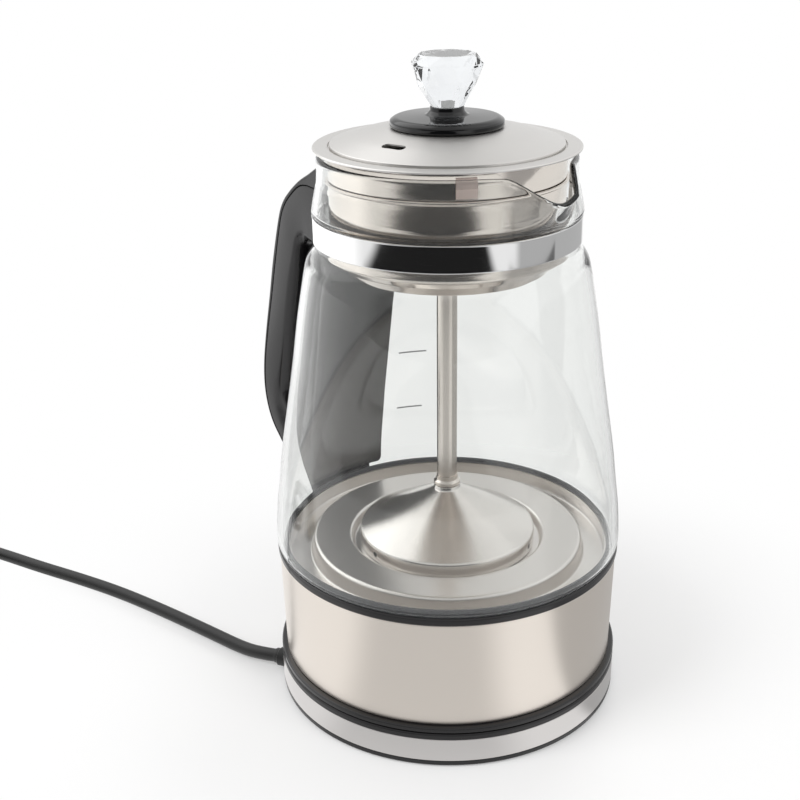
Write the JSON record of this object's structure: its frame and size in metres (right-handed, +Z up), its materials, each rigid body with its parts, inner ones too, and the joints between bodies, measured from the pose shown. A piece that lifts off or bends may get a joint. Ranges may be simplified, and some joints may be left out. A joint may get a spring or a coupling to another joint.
{
  "type": "automatic tea maker",
  "caption": "Glass kettle tea maker with a steam-fed basket, steel-sleeved heater foot, side handle, faceted lid knob and a round power base with a mains cord.",
  "frame": {"origin": "on the turning axis of the kettle, at the table", "axes": "+Z up, +X towards the pouring lip, -X towards the handle"},
  "size_m": [0.3897, 0.318, 0.2885],
  "materials": {
    "black_plastic": "satin",
    "plug_black": "matte",
    "rubber_feet": "matte",
    "brushed_sleeve": "brushed round",
    "sheet_steel": "fine satin",
    "chrome_band": "polished",
    "brass_contacts": "plain",
    "screw_steel": "plain",
    "aluminium_plate": "cast",
    "clear_glass": "clear",
    "clear_knob": "faceted",
    "gloss_black": "gloss",
    "silicone": "matte"
  },
  "bodies": {
    "power_base": {"base_cover": "black_plastic", "base_feet": "rubber_feet", "base_deck": "black_plastic", "base_screws": "screw_steel", "base_steel_band": "brushed_sleeve", "base_connector": "black_plastic", "base_contact": "brass_contacts", "strain_relief": "black_plastic", "cord_lead": "plug_black", "cord_coil": "plug_black", "cord_tail": "plug_black", "plug_body": "plug_black", "plug_pins": "brass_contacts"},
    "socket": {"kettle_socket": "black_plastic", "socket_contacts": "brass_contacts"},
    "kettle": {"kettle_cover": "black_plastic", "socket_retainer": "black_plastic", "steel_sleeve": "brushed_sleeve", "sleeve_ring": "black_plastic", "heater_plate": "brushed_sleeve", "heater_well": "brushed_sleeve", "heat_spreader": "aluminium_plate", "heating_element": "screw_steel", "thermostat": "screw_steel", "glass_seal": "silicone", "glass_vessel": "clear_glass", "neck_band": "chrome_band", "neck_band_screw": "screw_steel", "handle_inner_shell": "black_plastic", "handle_outer_shell": "black_plastic", "handle_screw": "screw_steel", "switch_surround": "black_plastic", "switch_pin": "screw_steel", "microswitch": "black_plastic"},
    "switch_lever": {"switch_lever": "black_plastic"},
    "basket": {"steam_cone": "sheet_steel", "riser_tube": "sheet_steel", "tube_ferrule": "sheet_steel", "tube_nut": "sheet_steel", "spray_cap": "sheet_steel", "tea_basket": "sheet_steel"},
    "lid": {"lid_dome": "brushed_sleeve", "lid_skirt": "sheet_steel", "lid_liner": "sheet_steel", "lid_clips": "sheet_steel", "knob_collar": "gloss_black", "knob_screw": "screw_steel", "crystal_knob": "clear_knob"}
  },
  "joints": [
    {"name": "kettle_lift", "type": "slide", "parent": "power_base", "child": "socket", "axis": [0, 0, 1], "range_m": [0, 0.08]},
    {"name": "kettle_turn", "type": "hinge", "parent": "socket", "child": "kettle", "pos_m": [0, 0, 0.0175], "axis": [0, 0, 1], "continuous": true},
    {"name": "basket_lift", "type": "slide", "parent": "kettle", "child": "basket", "axis": [0, 0, 1], "range_m": [0, 0.2]},
    {"name": "lid_lift", "type": "slide", "parent": "basket", "child": "lid", "axis": [0, 0, 1], "range_m": [0, 0.06]},
    {"name": "switch_press", "type": "hinge", "parent": "kettle", "child": "switch_lever", "pos_m": [-0.078, 0, 0.041], "axis": [0, -1, 0], "range_deg": [0, 12], "stiffness_Nm_per_rad": 0.02, "springref_deg": -5.73}
  ]
}
